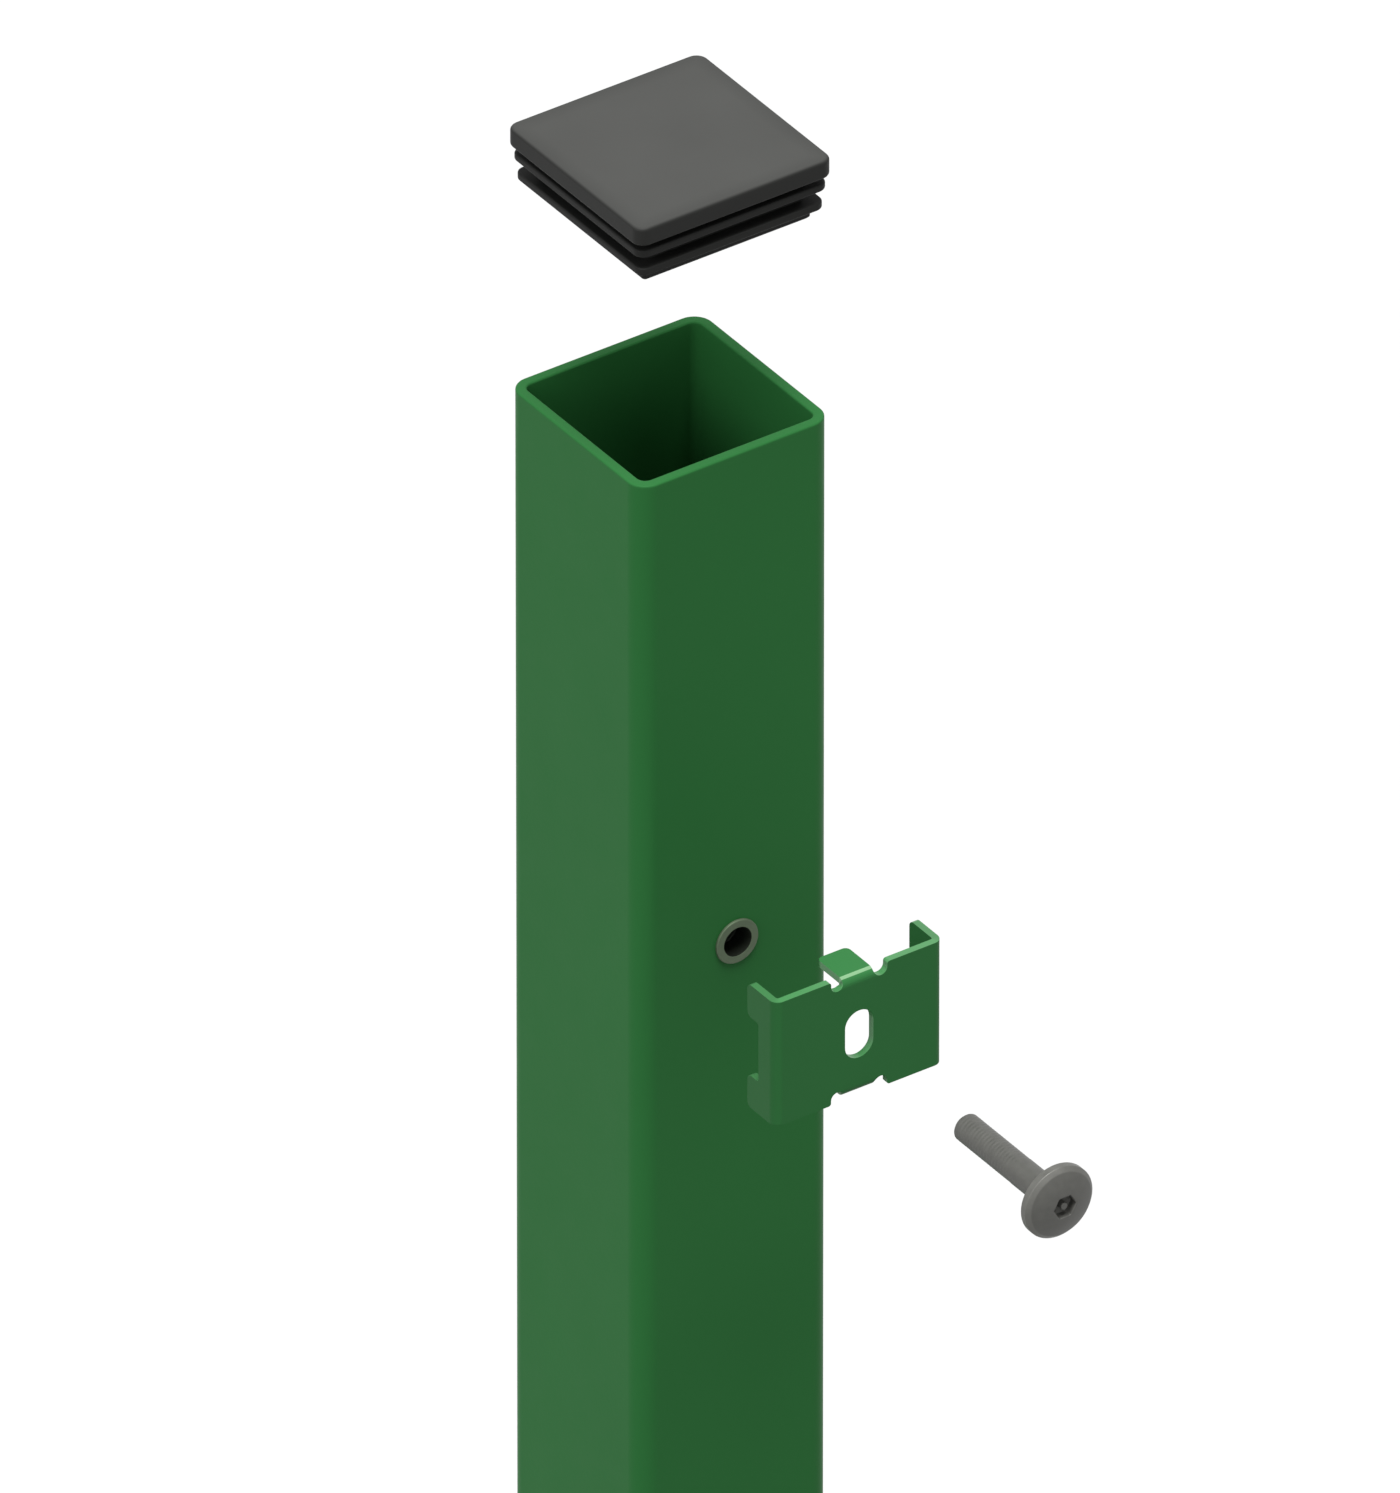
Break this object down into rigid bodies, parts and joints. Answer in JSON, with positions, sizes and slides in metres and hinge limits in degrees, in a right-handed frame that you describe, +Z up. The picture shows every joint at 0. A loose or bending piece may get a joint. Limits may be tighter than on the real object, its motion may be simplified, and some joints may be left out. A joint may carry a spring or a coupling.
{
  "type": "metal fence post",
  "caption": "Square green steel fence post with threaded rivet nuts, a folded fixing clip, its domed bolt and a ribbed plastic end cap, shown pulled apart.",
  "frame": {"origin": "centre of the square cut end at the post's foot", "axes": "+Z up along the post, -Y out of the face that holds the rivet nuts, +X to the right of that face"},
  "size_m": [0.0604, 0.2084, 1.5795],
  "materials": {
    "green_powder_coat": "smooth satin powder coat, moss green",
    "clip_powder_coat": "satin powder coat on folded sheet, moss green",
    "zinc_plate": "dull zinc plate",
    "bolt_zinc": "dull grey zinc plate",
    "black_plastic": "fine matt moulded polyethylene, charcoal black"
  },
  "bodies": {
    "root": {"post_tube": "green_powder_coat", "rivet_nut_top": "zinc_plate", "rivet_nut_middle": "zinc_plate", "rivet_nut_bottom": "zinc_plate", "end_cap": "black_plastic", "fixing_clip": "clip_powder_coat", "clip_bolt": "bolt_zinc"}
  },
  "joints": []
}
